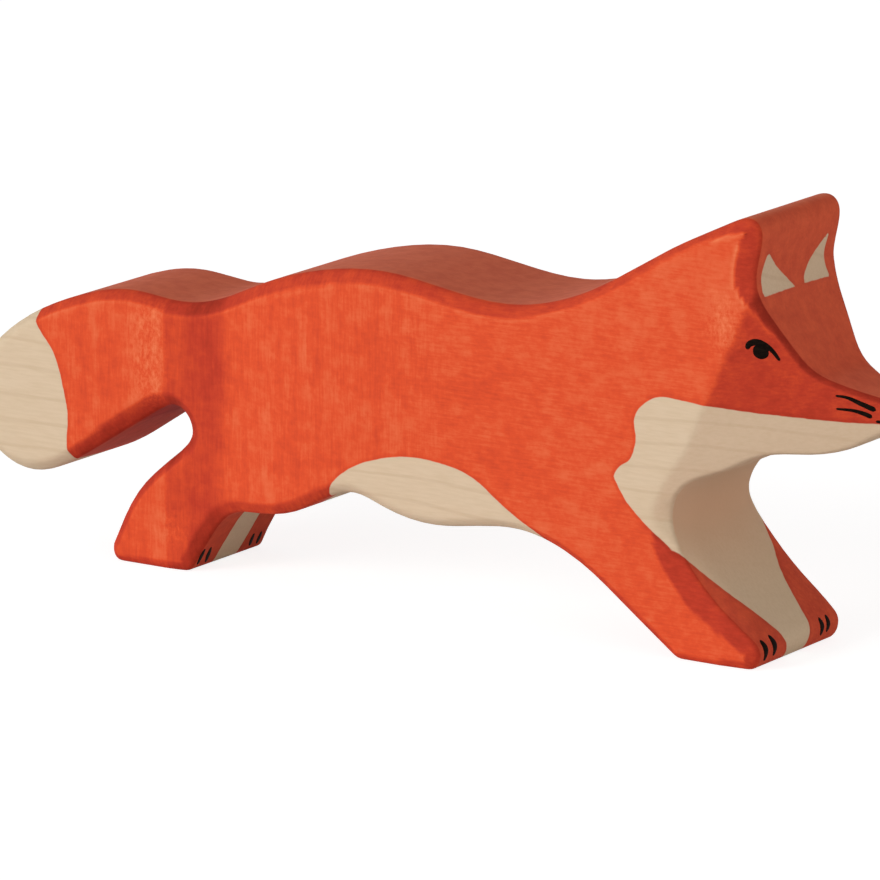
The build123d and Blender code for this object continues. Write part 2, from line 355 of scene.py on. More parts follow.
def side_sheet(side):
    """One side face: its points in x and z, half thickness and notes, its faces and its outer ring."""
    n = len(outline)
    line = outline + inward * (side["fall"] * fall_back)[:, None]
    tree = plan_tree(line)
    rings = [line] + [line + inward * reach for reach in ROUND_RINGS]
    flat = [Vector(p) for p in np.vstack([rings[-1], inner_points(line, tree)])]
    loop_edges = [(i, (i + 1) % n) for i in range(n)]
    coords, _, tris, origin, _, _ = delaunay_2d_cdt(flat, loop_edges, [], 1, 1e-5)
    coords = np.array([tuple(c) for c in coords])
    slot_of = {source: slot for slot, sources in enumerate(origin) for source in sources}
    plan = np.vstack([coords] + rings[:-1])
    ring_ids = [list(range(len(coords) + k * n, len(coords) + (k + 1) * n)) for k in range(len(rings) - 1)]
    ring_ids.append([slot_of[i] for i in range(n)])
    faces = [tuple(t) for t in tris]
    for outer, inner in zip(ring_ids, ring_ids[1:]):
        for i in range(n):
            j = (i + 1) % n
            faces.append((outer[i], outer[j], inner[j], inner[i]))
    half, depth, width, rise = half_thickness(plan[:, 0], plan[:, 1], line, tree, side)
    notes = {"depth": depth, "width": width, "rise": rise}
    return plan, half, notes, faces, ring_ids[0]


def body_mesh():
    """Vertices, faces and notes on each vertex of the whole figure."""
    n = len(outline)
    plan, half, right_notes, faces, right_rim = side_sheet(RIGHT)
    far_plan, far_half, left_notes, far_faces, left_rim = side_sheet(LEFT)
    count, both = len(plan), len(plan) + len(far_plan)
    verts = [
        np.stack([plan[:, 0], -half, plan[:, 1]], 1),
        np.stack([far_plan[:, 0], far_half, far_plan[:, 1]], 1),
    ]
    faces = faces + [tuple(i + count for i in reversed(f)) for f in far_faces]
    right, left = half[right_rim], far_half[left_rim]
    shares = np.linspace(0, 1, WALL_ROWS + 1)[1:-1]
    for share in shares:
        from_right, from_left = share * (right + left), (1 - share) * (right + left)
        fall = RIGHT["fall"] * np.clip(1 - from_right / FALL_REACH, 0, 1) ** 2
        fall += LEFT["fall"] * np.clip(1 - from_left / FALL_REACH, 0, 1) ** 2
        at = outline + inward * (fall * fall_back)[:, None]
        verts.append(np.stack([at[:, 0], from_right - right, at[:, 1]], 1))
    strips = [right_rim]
    strips += [[both + k * n + i for i in range(n)] for k in range(len(shares))]
    strips.append([i + count for i in left_rim])
    for one, two in zip(strips, strips[1:]):
        for i in range(n):
            j = (i + 1) % n
            faces.append((one[j], one[i], two[i], two[j]))
    rows = len(shares)
    notes = {}
    for key in right_notes:
        notes[key] = np.concatenate([right_notes[key], left_notes[key], np.zeros(rows * n)])
    notes["wall"] = np.concatenate([np.zeros(both), np.ones(rows * n)])
    notes["ahead"] = np.concatenate([np.zeros(both), np.tile(-inward[:, 0], rows)])
    for ids in (strips[0], strips[-1]):
        notes["wall"][ids] = 1
        notes["ahead"][ids] = -inward[:, 0]
    return np.vstack(verts), faces, notes


# Places left free of stain: outlines in x and z, or in y and z on the sawn faces, and the
# corners beyond the wood that close them
TAIL_TIP = [
    (-67.0, 41.0), (-67.4, 37.1), (-67.3, 35.6), (-66.0, 33.8), (-64.4, 31.9), (-63.2, 29.3),
    (-62.4, 26.2), (-61.8, 23.2), (-61.7, 21.0), (-61.9, 18.5), (-61.9, 16.5), (-61.0, 15.0), (-59.5, 13.0),
]
TAIL_BEYOND = [(-57.0, 0.0), (-99.0, 0.0), (-99.0, 41.0)]
BELLY = [
    (-12.8, 15.0), (-12.1, 17.4), (-9.9, 19.8), (-6.4, 21.9), (-1.6, 23.5), (2.8, 24.2), (7.1, 24.1),
    (11.4, 23.4), (14.9, 22.0), (17.9, 19.9), (21.3, 17.8), (24.7, 15.8), (28.0, 13.0),
]
BELLY_BEYOND = [(28.0, 4.0), (-12.8, 4.0)]
BIB = [
    (82.0, 37.2), (78.0, 37.35), (73.3, 37.3), (62.1, 37.9), (53.7, 38.7), (50.2, 39.0), (46.8, 39.1),
    (44.4, 38.2), (42.6, 36.5), (42.0, 34.9), (42.3, 32.5), (42.1, 31.0), (41.3, 29.0), (39.5, 27.7),
    (38.6, 26.2), (39.0, 25.3), (40.9, 22.5), (44.1, 19.6), (46.9, 17.45), (48.6, 15.6), (48.8, 12.0),
    (50.0, 6.0), (54.0, -3.0),
]
BIB_BEYOND = [(99.0, -3.0), (99.0, 37.3)]
LEG_LEFT = [
    (-20.0, 29.0), (-13.2, 18.9), (-11.2, 15.8), (-10.25, 14.2), (-9.5, 12.7), (-8.2, 10.2), (-6.7, 7.7),
    (-5.6, 5.9), (-4.5, 4.1), (-3.7, 2.5), (-3.2, 0.7), (-3.1, -2.0),
]
LEG_RIGHT = [
    (2.2, -2.0), (2.4, 1.0), (2.9, 3.1), (3.3, 4.6), (3.75, 6.1), (4.7, 7.7), (6.2, 9.9), (7.7, 11.7),
    (9.5, 13.5), (11.0, 16.3), (13.0, 20.0), (20.0, 30.0),
]
LEG_BEYOND = [(20.0, 60.0), (-20.0, 60.0)]
HIND_LEFT = [(-12.0, 17.5), (-6.0, 14.0), (-3.2, 9.5), (-2.9, 4.7), (-3.4, 0.9), (-3.6, -2.0)]
HIND_RIGHT = [(2.6, -2.0), (2.8, 0.7), (3.4, 3.8), (3.6, 9.0), (7.0, 14.0), (12.0, 17.5)]
RIGHT_EAR = [
    [(-8.2, 61.7), (-9.1, 58.6), (-9.4, 55.2)],
    [(-9.4, 55.2), (-0.6, 55.3)],
    [(-0.6, 55.3), (-2.6, 57.1), (-5.3, 59.2), (-8.2, 61.7)],
]
LEFT_EAR = [
    [(8.9, 61.9), (8.3, 58.6), (8.9, 55.1)],
    [(8.9, 55.1), (1.8, 55.3)],
    [(1.8, 55.3), (2.5, 56.5), (4.4, 58.4), (6.8, 60.4), (8.9, 61.9)],
]
TAIL_SLANT = 0.3         # slant of the tail tip's border across the board, in its lower part
TAIL_SLANT_Y = -10.0     # where the slanted border crosses the drawn one
TAIL_SLANT_TOP = 30.0    # the slant sets in below this height
TAIL_SLANT_FADE = 10.0
HIND_FRONT = -11.0       # the stripe of the hind leg runs back from here
HIND_BACK = -42.0        # to here
HIND_TOP = 17.4          # below a line that starts at this height
HIND_FALL = 0.3          # and falls by this much for each millimetre back
EAR_X = 58.0             # the inner ears lie ahead of this place
EAR_Z = 50.0             # and above this height
STAINED = -9.0           # stands for a place far from any border


def region(curves, beyond=()):
    """Closed outline of smooth curves and of the corners beyond the wood."""
    return np.vstack([smooth_curve(curve) for curve in curves] + [np.array(beyond, float).reshape(-1, 2)])


def bare_wood(verts, wall):
    """Signed distance into the places without stain."""
    x, y, z = verts.T
    xz = verts[:, [0, 2]]
    yz = verts[:, [1, 2]]
    slant = TAIL_SLANT * (y - TAIL_SLANT_Y) * smooth_step((TAIL_SLANT_TOP - z) / TAIL_SLANT_FADE)
    tail = signed_distance(np.stack([x + slant, z], 1), region([TAIL_TIP], TAIL_BEYOND))
    belly = signed_distance(xz, region([BELLY], BELLY_BEYOND))
    bib = signed_distance(xz, region([BIB], BIB_BEYOND))
    leg = signed_distance(yz, region([LEG_LEFT, LEG_RIGHT], LEG_BEYOND))
    hind = signed_distance(yz, region([HIND_LEFT, HIND_RIGHT]))
    behind = (x < HIND_FRONT) & (x > HIND_BACK) & (z < HIND_TOP + (x - HIND_FRONT) * HIND_FALL)
    hind = np.where((wall > 0) & behind, hind, STAINED)
    bare = np.maximum.reduce([tail, belly, np.minimum(bib, leg), hind])
    front = (wall > 0) & (x > EAR_X) & (z > EAR_Z)
    for ear in (RIGHT_EAR, LEFT_EAR):
        bare = np.maximum(bare, np.where(front, signed_distance(yz, region(ear)), STAINED))
    return bare


# Materials


class Nodes:
    """Small helper to lay out a node tree."""

    def __init__(self, tree, output):
        self.tree = tree
        self.tree.nodes.clear()
        self.out = self.add(output)

    def add(self, kind, **values):
        node = self.tree.nodes.new(kind)
        for key, value in values.items():
            setattr(node, key, value)
        return node

    def join(self, source, target):
        self.tree.links.new(source, target)

    def feed(self, node, key, value):
        """Sets an input to a number or colour, or links it to another node's output."""
        if hasattr(value, "is_output"):
            self.join(value, node.inputs[key])
        else:
            node.inputs[key].default_value = value

    def math(self, operation, a, b=0.0):
        node = self.add("ShaderNodeMath", operation=operation)
        self.feed(node, 0, a)
        self.feed(node, 1, b)
        return node.outputs[0]

    def vary(self, value, texture, amount):
        """Value that swings with a texture, by the amount from lowest to highest."""
        return self.math("ADD", value, self.math("MULTIPLY", self.math("SUBTRACT", texture, 0.5), amount))

    def ramp(self, value, low, high, to_low=0.0, to_high=1.0, kind="SMOOTHSTEP"):
        node = self.add("ShaderNodeMapRange", interpolation_type=kind)
        for key, v in enumerate((value, low, high, to_low, to_high)):
            self.feed(node, key, v)
        return node.outputs[0]

    def mix(self, fac, a, b):
        node = self.add("ShaderNodeMix", data_type="RGBA")
        self.feed(node, 0, fac)
        self.feed(node, 6, a)
        self.feed(node, 7, b)
        return node.outputs[2]

    def attribute(self, name):
        return self.add("ShaderNodeAttribute", attribute_name=name).outputs["Fac"]

    def place(self, scale, shift=(0, 0, 0)):
        """Object coordinates in units of the given grain size, in millimetres."""
        node = self.add("ShaderNodeMapping")
        self.feed(node, "Vector", self.add("ShaderNodeTexCoord").outputs["Object"])
        self.feed(node, "Location", shift)
        self.feed(node, "Scale", [1 / (s * MM) for s in scale])
        return node.outputs[0]

    def noise(self, vector, detail=2.0, rough=0.5):
        node = self.add("ShaderNodeTexNoise")
        self.feed(node, "Vector", vector)
        self.feed(node, "Scale", 1.0)
        self.feed(node, "Detail", detail)
        self.feed(node, "Roughness", rough)
        return node.outputs[0]

    def matte(self, color, roughness, specular):
        """Ends the tree in a plain surface of the given colour."""
        shader = self.add("ShaderNodeBsdfPrincipled")
        self.feed(shader, "Base Color", color)
        self.feed(shader, "Roughness", roughness)
        self.feed(shader, "Specular IOR Level", specular)
        self.join(shader.outputs[0], self.out.inputs[0])
        return shader

    def split(self, around, seen):
        """Ends the tree in one shader for the light on the fox and one for what is looked at."""
        path = self.add("ShaderNodeLightPath")
        direct = self.math("MAXIMUM", path.outputs["Is Camera Ray"], path.outputs["Is Glossy Ray"])
        direct = self.math("MAXIMUM", direct, path.outputs["Is Transmission Ray"])
        pick = self.add("ShaderNodeMixShader")
        for key, source in enumerate((direct, around, seen)):
            self.join(source, pick.inputs[key])
        self.join(pick.outputs[0], self.out.inputs[0])


def new_material(name):
    """Material with an empty node tree."""
    material = bpy.data.materials.new(name)
    material.use_nodes = True
    return material, Nodes(material.node_tree, "ShaderNodeOutputMaterial")


def srgb(r, g, b):
    """Colour from its values of 0 to 255 on a screen."""

    def lin(v):
        v /= 255
        return v / 12.92 if v <= 0.04045 else ((v + 0.055) / 1.055) ** 2.4

    return (lin(r), lin(g), lin(b), 1.0)


def grey(value):
    return (value, value, value, 1.0)


WOOD_LIGHT = srgb(220, 198, 170)
WOOD_FIBRE = srgb(214, 191, 161)
WOOD_RING = srgb(186, 156, 122)
WOOD_CLOUD = srgb(208, 184, 152)
WOOD_END = srgb(212, 172, 141)
STAIN_WORN = srgb(243, 138, 92)
STAIN_FULL = srgb(226, 85, 49)
STAIN_DEEP = srgb(195, 64, 44)
STAIN_DARK = srgb(152, 47, 33)
# paler, duller stain colours for the painted sheen on the sawn back and the painted light on the front of
# the feet
STAIN_SHEEN = srgb(223, 119, 88), srgb(212, 108, 80)
BLACK = srgb(15, 10, 7), srgb(32, 23, 17)
WOOD_SHINE = 0.03
PAINT_SHINE = 0.02


def fox_wood():
    """Pale wood under a red stain, with bare places, grain and the marks of the brush, and with painted
    shade and a painted sheen mixed into the stain.
    """
    material, m = new_material("stained_wood")
    axes = m.add("ShaderNodeSeparateXYZ")
    m.feed(axes, 0, m.place((1, 1, 1)))
    x, y, z = axes.outputs
    fibre = m.noise(m.place((3.5, 0.4, 0.4)), 3, 0.6)
    streak = m.noise(m.place((0.4, 0.8, 4)), 3, 0.6)
    sweep = m.noise(m.place((2.2, 6, 30)), 2, 0.5)
    cloud = m.noise(m.place((26, 14, 11)), 2)
    mottle = m.noise(m.place((2.6, 2.2, 2.2)), 4, 0.65)
    speck = m.noise(m.place((0.6, 0.6, 0.9)), 3, 0.7)
    # year rings, cut almost along the board
    bend = m.noise(m.place((55, 24, 24), (3.1, 0, 1.7)), 1.5)
    phase = m.math("ADD", m.math("MULTIPLY", z, 1.6), m.math("MULTIPLY", y, 0.5))
    phase = m.math("ADD", phase, m.math("MULTIPLY", bend, 12.0))
    ring = m.ramp(m.math("SINE", phase), 0.82, 1.0)
    ring = m.math("MULTIPLY", ring, m.math("SUBTRACT", 1.0, m.attribute("cross_cut")))
    # bare wood, darker where the end of the grain shows
    bare = m.mix(m.ramp(fibre, 0.3, 0.75), WOOD_LIGHT, WOOD_FIBRE)
    bare = m.mix(m.math("MULTIPLY", ring, 0.20), bare, WOOD_RING)
    bare = m.mix(m.ramp(cloud, 0.3, 0.8, 0, 0.3), bare, WOOD_CLOUD)
    bare = m.mix(m.attribute("end_grain"), bare, WOOD_END)
    # stain: brushed upright at the hip, along the fibres at the shoulder and the head
    upright = m.ramp(x, 2.0, 14.0, 0.5, 0.0)
    along = m.ramp(x, -6.0, 12.0, 0.15, 0.6)
    # the stain's depth, which also carries painted shade under the tail and on the hind legs' sawn fronts
    tone = m.vary(m.attribute("stain_and_shade"), mottle, 0.8)
    tone = m.vary(tone, streak, upright)
    tone = m.vary(tone, sweep, upright)
    tone = m.vary(tone, fibre, along)
    tone = m.vary(tone, cloud, 0.4)
    tone = m.math("SUBTRACT", tone, m.math("MULTIPLY", m.attribute("worn"), m.ramp(speck, 0.3, 0.75)))
    # brushed edge between the two, with a little more stain along it
    wobble = m.noise(m.place((2.2, 1.2, 1.2)), 2, 0.5)
    into = m.vary(m.attribute("bare"), wobble, 0.22)
    tone = m.math("ADD", tone, m.ramp(into, -0.8, -0.1, 0.0, 0.18))
    stain = m.mix(m.ramp(tone, -0.3, 0.5, kind="LINEAR"), STAIN_WORN, STAIN_FULL)
    stain = m.mix(m.ramp(tone, 0.5, 1.0, kind="LINEAR"), stain, STAIN_DEEP)
    stain = m.mix(m.ramp(tone, 1.0, 1.6, kind="LINEAR"), stain, STAIN_DARK)
    # painted sheen: paler, duller stain on the upward sawn back, and painted light on the front of the feet
    stain = m.mix(m.attribute("painted_sheen"), stain, m.mix(m.ramp(mottle, 0.3, 0.7), *STAIN_SHEEN))
    color = m.mix(m.ramp(into, -0.07, 0.11), stain, bare)
    shader = m.matte(color, m.ramp(fibre, 0.2, 0.8, 0.62, 0.72, "LINEAR"), WOOD_SHINE)
    bump = m.add("ShaderNodeBump")
    m.feed(bump, "Strength", 0.2)
    m.feed(bump, "Distance", 0.1 * MM)
    m.feed(bump, "Height", mottle)
    m.feed(shader, "Normal", bump.outputs[0])
    return material


def black_paint():
    """Thin black paint, brushed along the fibres."""
    material, m = new_material("black_paint")
    grain = m.noise(m.place((2.0, 0.4, 0.4)), 3, 0.6)
    color = m.mix(m.ramp(grain, 0.35, 0.75), *BLACK)
    m.matte(color, m.ramp(grain, 0.2, 0.8, 0.5, 0.65, "LINEAR"), PAINT_SHINE)
    return material


def zone(values, on, off, blur_on, blur_off):
    """One between on and off, fading over the given widths."""
    return smooth_step((values - on) / blur_on + 0.5) * (1 - smooth_step((values - off) / blur_off + 0.5))


def patch(verts, x, z, half_x, half_z):
    """Soft round patch on the sides about x and z."""
    return np.exp(-(((verts[:, 0] - x) / half_x) ** 2) - ((verts[:, 2] - z) / half_z) ** 2)


def cheek_share(verts, notes):
    """One on the flats of the cheeks, nothing elsewhere."""
    x, z = verts[:, 0], verts[:, 2]
    return smooth_step((slab_half(x) - cheek_half(x, z)) / 0.35) * (z > 20.5) * (1 - notes["wall"])


def stain_and_shade_depth(verts, notes):
    """How much stain each place took: more on sanded edges and sawn faces, less where it is worn, with
    painted shade added under the tail and on the sawn fronts of the hind legs under the belly.
    """
    x, z = verts[:, 0], verts[:, 2]
    side = 1 - notes["wall"]
    bevel = smooth_step(notes["rise"] / 0.1)
    stain_and_shade = 0.47 + notes["wall"] * (0.25 + 0.2 * np.maximum(notes["ahead"], 0) * (z < 40))
    stain_and_shade += 0.38 * bevel * side
    stain_and_shade += side * (0.26 * zone(x, -43.2, -33.0, 0.4, 7.0) + 0.22 * zone(x, -39.6, -33.0, 2.0, 7.0))
    stain_and_shade += 0.46 * cheek_share(verts, notes)
    leg = zone(x, 44.0, 70.0, 1.0, 1.0) * zone(z, 2.0, 23.0, 2.0, 2.0)
    stain_and_shade += 0.2 * bevel * leg * side
    brow = zone(x, 59.0, 90.0, 2.0, 1.0) * zone(z, 38.5, 62.0, 1.0, 4.0)
    stain_and_shade += 0.1 * bevel * brow * side
    # painted shade under the tail: its lower bevels and sawn faces, and the back of the hind heel, are
    # darkened
    painted_tail_shade = zone(x, -62.0, -40.0, 6.0, 2.0) * zone(z, 5.0, 32.0, 1.0, 1.0)
    stain_and_shade += painted_tail_shade * (0.35 * side * notes["rise"] + 0.42 * notes["wall"])
    # painted shade on the sawn faces low under the belly, at the front of the hind legs
    painted_hind_shade = zone(x, -42.0, -14.0, 1.0, 4.0) * zone(z, -5.0, 16.0, 1.0, 2.0)
    stain_and_shade += 0.15 * painted_hind_shade * notes["wall"]
    inner_line = np.exp(-(((notes["depth"] - notes["width"] - 0.2) / 0.3) ** 2)) * side
    stain_and_shade -= 0.16 * inner_line * (z > 36) * (x < 30)
    ear = zone(x, 55.0, 70.0, 2.0, 1.0) * zone(z, 49.0, 66.0, 3.0, 3.0)
    stain_and_shade += ear * (0.14 * bevel * side - 0.35 * inner_line)
    stain_and_shade -= 0.12 * side * patch(verts, 48.0, 53.0, 8.0, 5.0)
    return stain_and_shade


def worn_places(verts, notes):
    """Where the stain is rubbed thin and the wood shows through in specks."""
    tail = zone(verts[:, 0], -49.0, -43.5, 6.0, 1.2) * zone(verts[:, 2], 24.0, 41.0, 8.0, 3.0)
    made = 0.5 * tail + 0.55 * patch(verts, 57.0, 51.2, 2.8, 4.2) + 0.2 * patch(verts, 66.0, 43.5, 3.0, 2.0)
    made += 0.3 * patch(verts, -41.5, 6.5, 4.0, 3.0)
    return made * (1 - notes["wall"])


def end_grain(verts, notes):
    """Wood cut across its fibres: the front of the chest, and a little of the cheeks."""
    chest = zone(verts[:, 0], 40.0, 90.0, 2.0, 1.0) * zone(verts[:, 2], 14.0, 34.0, 14.0, 3.0)
    sawn = 0.85 * chest * notes["wall"] * np.maximum(notes["ahead"], 0)
    return sawn + 0.22 * cheek_share(verts, notes)


def looks_ahead(notes):
    """One on sawn faces that look ahead, nothing elsewhere."""
    return notes["wall"] * smooth_step(notes["ahead"] / 0.5)


def cross_cut(verts, notes):
    """Where the year rings hardly show: the front of the legs, chest and chin."""
    return 0.75 * looks_ahead(notes) * (verts[:, 2] < 36)


def painted_sheen_places(verts, notes):
    """Painted sheen: a paler, duller stain on the upward sawn back, less where it leans ahead, and painted
    light a little on the front of the feet.
    """
    # painted sheen on the upward sawn back, less where the face leans ahead
    back = notes["wall"] * smooth_step((verts[:, 2] - 33) / 6)
    thin = back * (0.9 - 0.5 * smooth_step(notes["ahead"] / 0.6))
    return thin + 0.25 * looks_ahead(notes) * (verts[:, 2] < 22)


verts, faces, notes = body_mesh()
fox = new_object("fox_body", verts, faces, fox_wood())
set_attribute(fox, "bare", bare_wood(verts, notes["wall"]))
# stain depth, with painted shade under the tail and on the sawn fronts of the hind legs
set_attribute(fox, "stain_and_shade", stain_and_shade_depth(verts, notes))
set_attribute(fox, "worn", worn_places(verts, notes))
set_attribute(fox, "end_grain", end_grain(verts, notes))
set_attribute(fox, "cross_cut", cross_cut(verts, notes))
# painted sheen on the sawn back and painted light on the front of the feet
set_attribute(fox, "painted_sheen", painted_sheen_places(verts, notes))
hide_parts("wooden_body")
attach(fox, "root")
skin = BVHTree.FromPolygons([tuple(v) for v in verts], faces)


# Black brush marks: x, z and brush width on the cheek, or y, z and brush width on a foot
LID = [
    (60.5, 47.7, 0.6), (60.9, 48.5, 0.95), (61.9, 48.85, 1.1), (63.1, 48.45, 0.9), (64.1, 47.5, 0.7),
    (64.9, 46.2, 0.45),
]
EYE_SPOT = (62.4, 47.45, 1.12, 1.2)
UPPER_WHISKER = [(72.2, 41.3, 0.35), (73.8, 41.1, 0.55), (75.6, 40.3, 0.8), (77.6, 39.4, 0.9)]
LOWER_WHISKER = [(72.1, 39.3, 0.35), (74.3, 39.2, 0.55), (75.9, 38.8, 0.75), (77.0, 38.3, 0.8)]
MOUTH = [(77.5, 37.7, 0.45), (78.4, 37.6, 0.6), (79.6, 37.2, 0.8)]
CLAWS = {
    "claws_front_right": [
        [(-9.7, 4.4, 0.6), (-9.3, 3.3, 1.15), (-9.2, 2.4, 1.1), (-9.3, 1.3, 0.6)],
        [(-7.6, 4.7, 0.6), (-7.05, 3.5, 1.25), (-6.9, 2.6, 1.15), (-7.05, 1.6, 0.6)],
    ],
    "claws_front_left": [
        [(6.1, 4.4, 0.6), (6.4, 3.3, 1.2), (6.4, 2.5, 1.1), (6.2, 1.7, 0.6)],
        [(8.0, 4.4, 0.6), (8.2, 3.3, 1.2), (8.1, 2.6, 1.1), (7.8, 1.9, 0.6)],
    ],
    "claws_hind_right": [
        [(-8.0, 3.6, 0.55), (-8.0, 2.4, 1.1), (-8.0, 0.9, 0.6)],
        [(-6.3, 3.5, 0.55), (-6.05, 2.2, 1.1), (-5.75, 0.8, 0.6)],
    ],
    "claws_hind_left": [
        [(5.3, 3.2, 0.55), (5.5, 2.1, 1.0), (5.8, 1.0, 0.6)],
        [(7.4, 3.1, 0.55), (7.6, 2.0, 1.0), (7.7, 0.9, 0.6)],
    ],
}
PAINT = 0.09             # height of a brush stroke's ridge
SINK = 0.12              # how far the underside of a stroke lies in the wood
FILM_EDGE = 0.02         # how far the edge of a film lies in the wood
TIP = 0.08               # width left at the very ends of a stroke, as a share
STROKE_STEPS = 12        # rows of points from one drawn place of a stroke to the next
STROKE_ACROSS = 9        # points across a stroke
DAB_ROWS = 31            # rows of points over the eye spot
DAB_ACROSS = 15          # points in each of them
DAB_REACH = 0.995        # the outer rows lie this far out, as a share
DAB_RISE = 1.3 * PAINT   # the spot is thicker than a stroke
CHEEK_START = 40.0       # cheeks are met from this far aside
FRONT_START = 75.0       # front feet from this far ahead
HIND_START = -30.0       # hind feet from here
NOSE_CUT = Vector((78.9, 0, 38.4)) * MM
NOSE_LEAN = Vector((1, 0, 0.12)).normalized()


def brush_place(start, way):
    """Lays points of a mark, and heights over the wood, on the body as it is met along the way."""

    def place(flat, height):
        made = []
        for (a, b), rise in zip(flat, height):
            hit, normal = skin.ray_cast(Vector(start(a, b)), Vector(way))[:2]
            made.append(hit + normal * rise)
        return np.array(made)

    return place


def on_cheek(side):
    """Right (-1) or left (1) cheek, met from its own side."""
    return brush_place(lambda x, z: (x, side * CHEEK_START, z), (0, -side, 0))


def on_foot(ahead):
    """Front of a foot, met from the place ahead of it."""
    return brush_place(lambda y, z: (ahead, y, z), (-1, 0, 0))


def shell(rows, place):
    """Closed film from rows of (points, heights) that run from one end of a mark to the other."""
    across = len(rows[0][0])
    flat = np.vstack([r[0] for r in rows])
    top = place(flat, np.concatenate([r[1] for r in rows]))
    under = place(flat, np.full(len(flat), -SINK))
    verts = np.vstack([top, under])
    shift = len(flat)
    faces = []
    for r in range(len(rows) - 1):
        for c in range(across - 1):
            a, b = r * across + c, r * across + c + 1
            d, e = a + across, b + across
            faces.append((a, b, e, d))
            faces.append((a + shift, d + shift, e + shift, b + shift))
        for c in (0, across - 1):
            a, d = r * across + c, (r + 1) * across + c
            faces.append((a, d, d + shift, a + shift))
    for r in (0, len(rows) - 1):
        for c in range(across - 1):
            a, b = r * across + c, r * across + c + 1
            faces.append((a, b, b + shift, a + shift))
    return verts, faces


def brush_stroke(points, place):
    """Film of one stroke, ridged along its middle and rounded at its ends."""
    line = smooth_curve(points, STROKE_STEPS)
    centre, half = line[:, :2], line[:, 2] / 2
    run = np.concatenate([[0], np.cumsum(np.linalg.norm(np.diff(centre, axis=0), axis=1))])
    reach = np.clip(np.minimum(run, run[-1] - run) / half, 0, 1)
    half = half * np.maximum(np.sqrt(1 - (1 - reach) ** 2), TIP)
    along = np.gradient(centre, axis=0)
    along /= np.linalg.norm(along, axis=1)[:, None]
    aside = np.stack([-along[:, 1], along[:, 0]], 1)
    share = np.linspace(-1, 1, STROKE_ACROSS)
    rows = []
    for c, n, w in zip(centre, aside, half):
        rows.append((c + share[:, None] * n * w, PAINT * (1 - share**4) - FILM_EDGE))
    return shell(rows, place)


def eye_dab(spot, place):
    """Film of the round spot of the eye."""
    x, z, half_x, half_z = spot
    share = np.linspace(-1, 1, DAB_ACROSS)
    rows = []
    for t in np.linspace(-DAB_REACH, DAB_REACH, DAB_ROWS):
        chord = math.sqrt(1 - t * t)
        points = np.stack([np.full_like(share, x + t * half_x), z + share * chord * half_z], 1)
        rows.append((points, DAB_RISE * (1 - np.maximum(t * t, share**2) ** 3) - FILM_EDGE))
    return shell(rows, place)


def joined(parts):
    """Several meshes as one."""
    verts, faces, count = [], [], 0
    for v, f in parts:
        verts.append(v)
        faces += [tuple(i + count for i in face) for face in f]
        count += len(v)
    return np.vstack(verts), faces


def add_mark(name, parts):
    """One node of paint, made of closed films."""
    obj = new_object(name + "_paint", *joined(parts), black)
    shape = bmesh.new()
    shape.from_mesh(obj.data)
    bmesh.ops.recalc_face_normals(shape, faces=shape.faces)
    shape.to_mesh(obj.data)
    shape.free()
    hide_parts(name)
    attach(obj, "root")


black = black_paint()
for word, side in (("right", -1), ("left", 1)):
    cheek = on_cheek(side)
    add_mark("eye_" + word, [brush_stroke(LID, cheek), eye_dab(EYE_SPOT, cheek)])
    add_mark("whiskers_" + word, [brush_stroke(UPPER_WHISKER, cheek), brush_stroke(LOWER_WHISKER, cheek)])
for name, strokes in CLAWS.items():
    foot = on_foot(FRONT_START if "front" in name else HIND_START)
    add_mark(name, [brush_stroke(points, foot) for points in strokes])


def nose_cap():
    """Film over the tip of the snout, cut from the body's own surface."""
    shape = bmesh.new()
    shape.from_mesh(fox.data)
    everything = shape.verts[:] + shape.edges[:] + shape.faces[:]
    bmesh.ops.bisect_plane(shape, geom=everything, plane_co=NOSE_CUT, plane_no=NOSE_LEAN, clear_inner=True)
    rim = {v for e in shape.edges if e.is_boundary for v in e.verts}
    lift = {v: (-FILM_EDGE if v in rim else PAINT) * MM * v.normal for v in shape.verts}
    low = {v: v.co - SINK * MM * v.normal for v in shape.verts}
    top = {v: i for i, v in enumerate(shape.verts)}
    count = len(top)
    verts = [(v.co + lift[v]) / MM for v in shape.verts] + [low[v] / MM for v in shape.verts]
    faces = []
    for f in shape.faces:
        ids = [top[v] for v in f.verts]
        faces.append(tuple(ids))
        faces.append(tuple(i + count for i in reversed(ids)))
    for e in shape.edges:
        if e.is_boundary:
            a, b = (top[v] for v in e.verts)
            faces.append((a, b, b + count, a + count))
    made = np.array([tuple(v) for v in verts]), faces
    shape.free()
    return made


mouth_corners = [brush_stroke(MOUTH, on_cheek(side)) for side in (-1, 1)]
add_mark("nose_and_mouth", [nose_cap()] + mouth_corners)

# Floor, light and camera
FLOOR_HALF = 4000.0
FLOOR_AROUND = 0.84      # share of the light that the floor throws back on the fox
FLOOR_SEEN = 0.42        # share that is seen of it, so that shadows stay faint
FLOOR_GLOW = 0.83
SKY_STRENGTH = 0.55
SKY_LOW = 1.0            # brightness of the sky at the horizon
SKY_MIDDLE = (0.25, 0.71)  # height and brightness on the way up
SKY_HIGH = (0.8, 0.4)
TARGET = Vector((0.1, 0.0, 24.069)) * MM
CAMERA_TURN = 33.724     # from the fox's right side towards its nose
CAMERA_RISE = 13.456
CAMERA_DISTANCE = 1124.9
SENSOR = 36.0
FOCAL_SHARE = 7500 / 880  # focal length as a share of the sensor's width
# turn and rise of each light, distance and width in metres, power and colour
LIGHTS = {
    "key": (-31, 18, 2.2, 1.3, 34.0, (1, 1, 1)),
    "front_fill": (83, 10, 1.0, 1.2, 3.7, (1.0, 0.84, 0.74)),
}


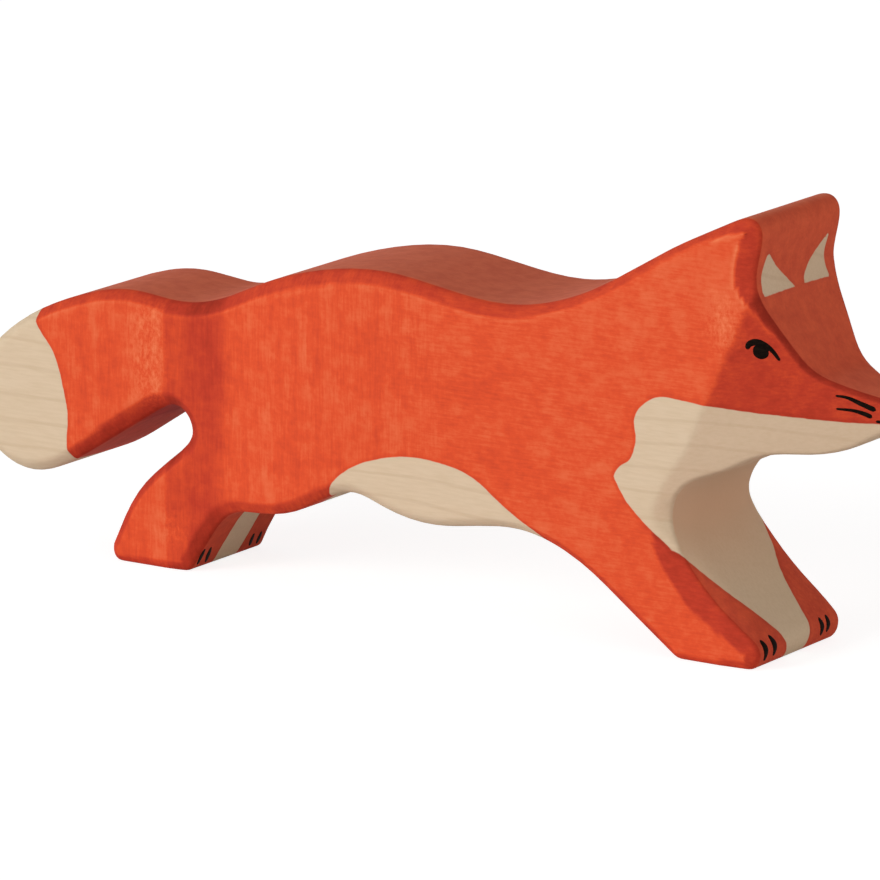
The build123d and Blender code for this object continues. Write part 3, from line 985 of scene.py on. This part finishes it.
def floor_material():
    """White floor on which shadows show only faintly."""
    material, m = new_material("floor")
    around = m.add("ShaderNodeBsdfDiffuse")
    m.feed(around, "Color", grey(FLOOR_AROUND))
    seen = m.add("ShaderNodeBsdfDiffuse")
    m.feed(seen, "Color", grey(FLOOR_SEEN))
    glow = m.add("ShaderNodeEmission")
    m.feed(glow, "Color", grey(1.0))
    m.feed(glow, "Strength", FLOOR_GLOW)
    both = m.add("ShaderNodeAddShader")
    m.join(seen.outputs[0], both.inputs[0])
    m.join(glow.outputs[0], both.inputs[1])
    m.split(around.outputs[0], both.outputs[0])
    return material


def sky():
    """Soft light from all round, brightest at the horizon, before a plain white background."""
    world = bpy.data.worlds.new("studio")
    world.use_nodes = True
    m = Nodes(world.node_tree, "ShaderNodeOutputWorld")
    way = m.add("ShaderNodeSeparateXYZ")
    m.feed(way, 0, m.add("ShaderNodeTexCoord").outputs["Generated"])
    shade = m.add("ShaderNodeValToRGB")
    low, high = shade.color_ramp.elements
    low.position, low.color = 0.0, grey(SKY_LOW)
    high.position, high.color = SKY_HIGH[0], grey(SKY_HIGH[1])
    shade.color_ramp.elements.new(SKY_MIDDLE[0]).color = grey(SKY_MIDDLE[1])
    m.feed(shade, 0, way.outputs[2])
    around = m.add("ShaderNodeBackground")
    m.feed(around, "Color", shade.outputs[0])
    m.feed(around, "Strength", SKY_STRENGTH)
    white = m.add("ShaderNodeBackground")
    m.feed(white, "Color", grey(1.0))
    m.feed(white, "Strength", 1.0)
    m.split(around.outputs[0], white.outputs[0])
    return world


def aim(name, data, turn, rise, distance):
    """Puts a light or the camera at a distance from the fox, looking at it."""
    a, e = math.radians(turn), math.radians(rise)
    back = Vector((math.sin(a) * math.cos(e), -math.cos(a) * math.cos(e), math.sin(e)))
    obj = bpy.data.objects.new(name, data)
    bpy.context.scene.collection.objects.link(obj)
    obj.location = TARGET + back * distance
    obj.rotation_mode = "QUATERNION"
    obj.rotation_quaternion = (-back).to_track_quat("-Z", "Y")
    return obj


corners = [(-FLOOR_HALF, -FLOOR_HALF, 0), (FLOOR_HALF, -FLOOR_HALF, 0)]
corners += [(FLOOR_HALF, FLOOR_HALF, 0), (-FLOOR_HALF, FLOOR_HALF, 0)]
floor = new_object("floor", corners, [(0, 1, 2, 3)], floor_material())

scene = bpy.context.scene
scene.world = sky()
for name, (turn, rise, distance, width, power, color) in LIGHTS.items():
    lamp = bpy.data.lights.new(name, "AREA")
    lamp.size = width
    lamp.energy = power
    lamp.color = color
    aim(name, lamp, turn, rise, distance)

lens = bpy.data.cameras.new("camera")
lens.sensor_width = SENSOR
lens.lens = FOCAL_SHARE * SENSOR
lens.clip_start = 0.01
lens.clip_end = 20.0
scene.camera = aim("camera", lens, CAMERA_TURN, CAMERA_RISE, CAMERA_DISTANCE * MM)
scene.view_settings.view_transform = "Standard"
